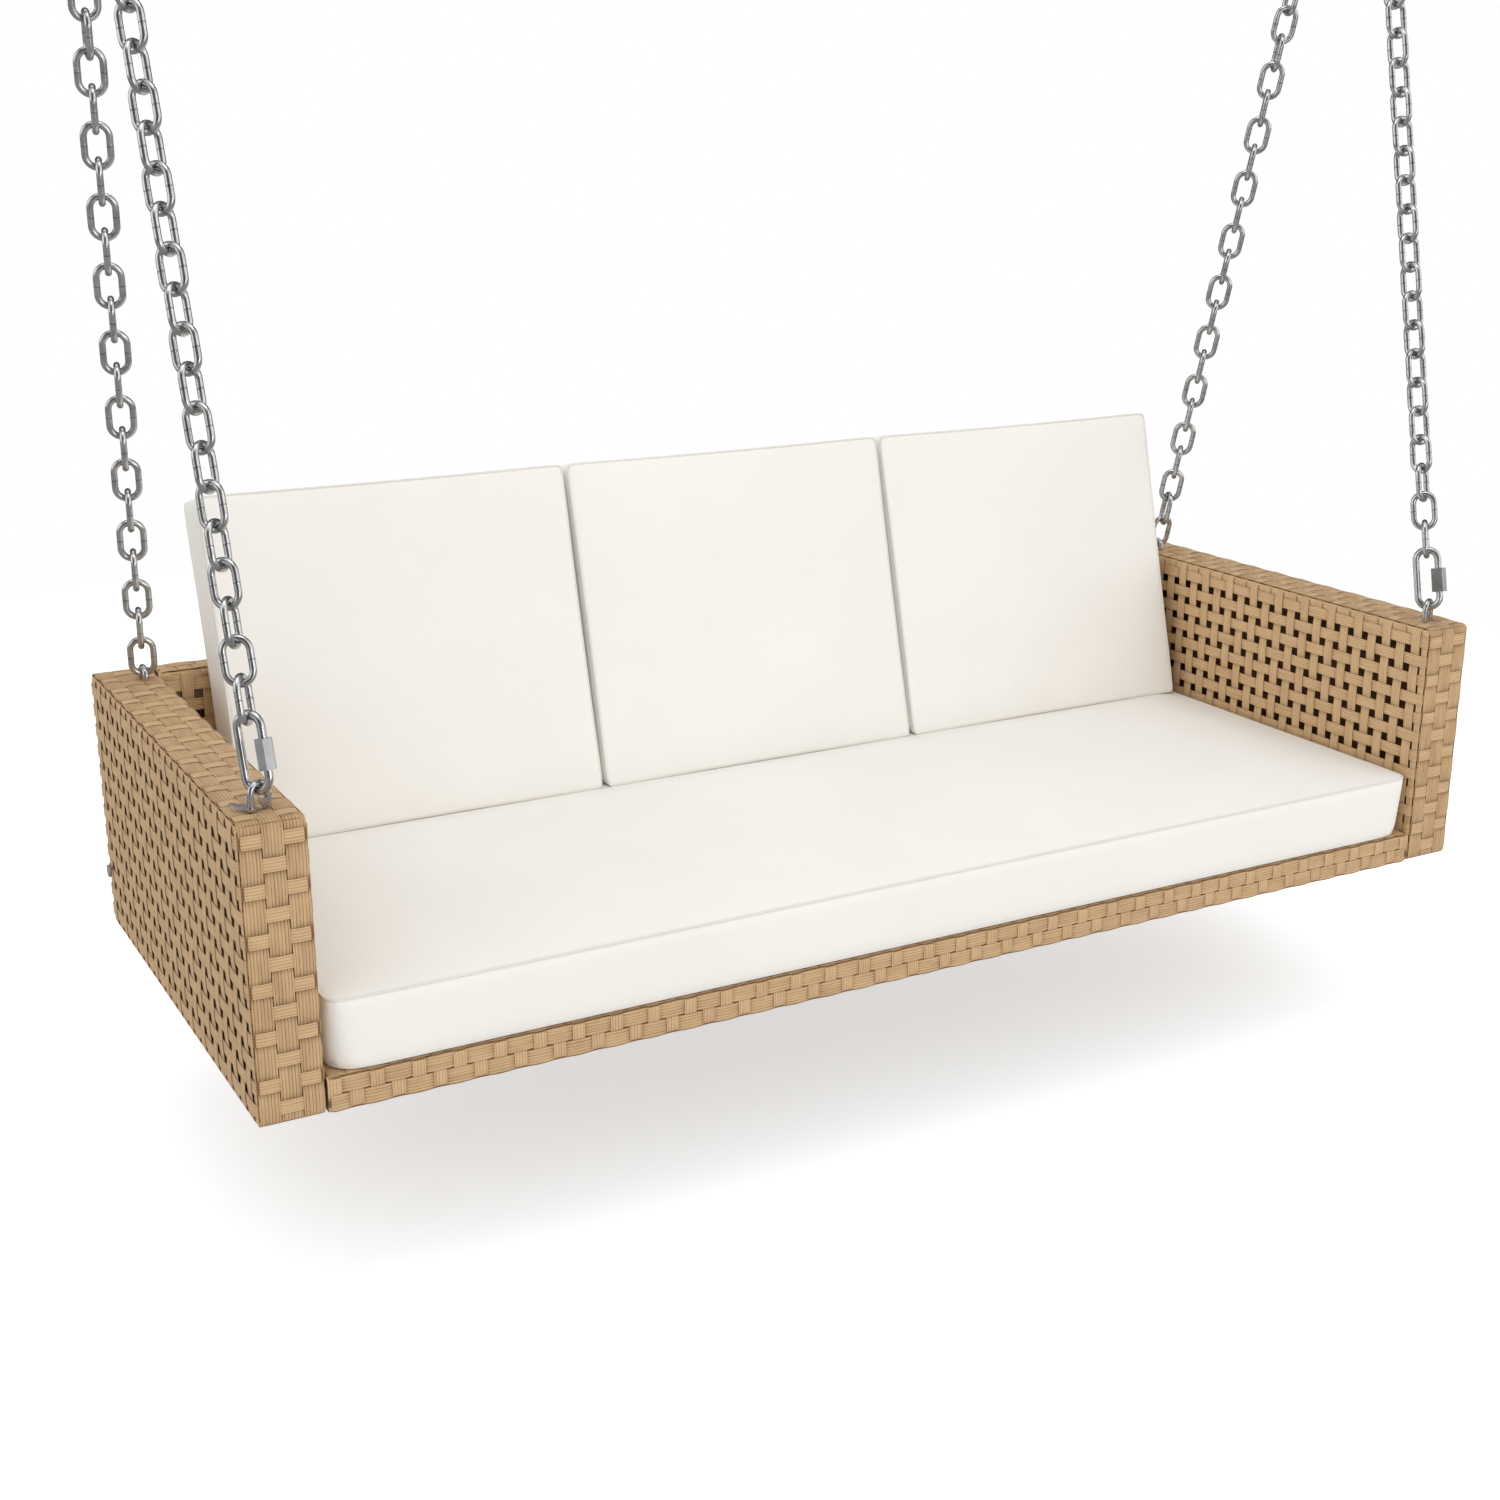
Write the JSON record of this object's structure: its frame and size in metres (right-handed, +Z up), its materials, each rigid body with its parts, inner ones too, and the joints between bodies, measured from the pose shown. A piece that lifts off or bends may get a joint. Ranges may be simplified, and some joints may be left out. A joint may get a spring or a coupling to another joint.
{
  "type": "porch swing seat",
  "caption": "Hanging garden bench with woven box arms and low back, loose seat and back cushions, hung on chains from two ceiling rings.",
  "frame": {"origin": "on the ceiling, midway between the two ceiling plates, in the plane of their upper faces", "axes": "+Z up, +X along the bench to the right as seen from its front, -Y towards the front edge of the seat"},
  "size_m": [1.962, 0.7789, 1.845],
  "materials": {
    "weave": "flat woven resin strand in light tan, matt with fine lengthwise grooves",
    "frame_tube": "powder coated in the strand's brown",
    "liner_board": "dark brown board inside the arms, matt",
    "zinc_steel": "zinc plated, satin",
    "cushion_cover": "off-white outdoor fabric over foam"
  },
  "bodies": {
    "ceiling_hangers": {"ceiling_plate_left": "zinc_steel", "ceiling_plate_right": "zinc_steel", "ceiling_bow_left": "zinc_steel", "ceiling_bow_right": "zinc_steel"},
    "bench": {"top_ring_left": "zinc_steel", "top_ring_right": "zinc_steel", "chain_front_left": "zinc_steel", "chain_front_right": "zinc_steel", "chain_rear_left": "zinc_steel", "chain_rear_right": "zinc_steel", "quick_link_left": "zinc_steel", "quick_link_right": "zinc_steel", "front_eye_left": "zinc_steel", "front_eye_right": "zinc_steel", "rear_eye_left": "zinc_steel", "rear_eye_right": "zinc_steel", "eye_nuts": "zinc_steel", "arm_top_rail_left": "frame_tube", "arm_top_rail_right": "frame_tube", "arm_bottom_rail_left": "frame_tube", "arm_bottom_rail_right": "frame_tube", "arm_front_post_left": "frame_tube", "arm_front_post_right": "frame_tube", "arm_rear_post_left": "frame_tube", "arm_rear_post_right": "frame_tube", "arm_liner_left": "liner_board", "arm_liner_right": "liner_board", "arm_weave_outer_left": "weave", "arm_weave_outer_right": "weave", "arm_weave_inner_left": "weave", "arm_weave_inner_right": "weave", "arm_weave_top_left": "weave", "arm_weave_top_right": "weave", "arm_weave_front_left": "weave", "arm_weave_front_right": "weave", "arm_weave_rear_left": "weave", "arm_weave_rear_right": "weave", "arm_weave_bottom_left": "weave", "arm_weave_bottom_right": "weave", "corner_staples": "zinc_steel", "frame_bolts": "zinc_steel", "seat_front_rail": "frame_tube", "seat_rear_rail": "frame_tube", "seat_cross_bars": "frame_tube", "seat_deck_weave": "weave", "seat_apron_weave": "weave", "back_top_rail": "frame_tube", "back_posts": "frame_tube", "back_weave_front": "weave", "back_weave_rear": "weave", "back_weave_top": "weave", "back_weave_bottom": "weave", "seat_cushion": "cushion_cover", "back_cushion_left": "cushion_cover", "back_cushion_middle": "cushion_cover", "back_cushion_right": "cushion_cover"},
    "left_sleeve": {"quick_link_sleeve_left": "zinc_steel"},
    "right_sleeve": {"quick_link_sleeve_right": "zinc_steel"}
  },
  "joints": [
    {"name": "swing", "type": "hinge", "parent": "ceiling_hangers", "child": "bench", "pos_m": [0, 0, -0.031], "axis": [1, 0, 0], "range_deg": [-30, 30]},
    {"name": "left_sleeve_travel", "type": "slide", "parent": "bench", "child": "left_sleeve", "axis": [-0.0304, 0.2792, 0.9598], "range_m": [0, 0.013]},
    {"name": "right_sleeve_travel", "type": "slide", "parent": "bench", "child": "right_sleeve", "axis": [0.0289, 0.279, 0.9598], "range_m": [0, 0.013]}
  ]
}
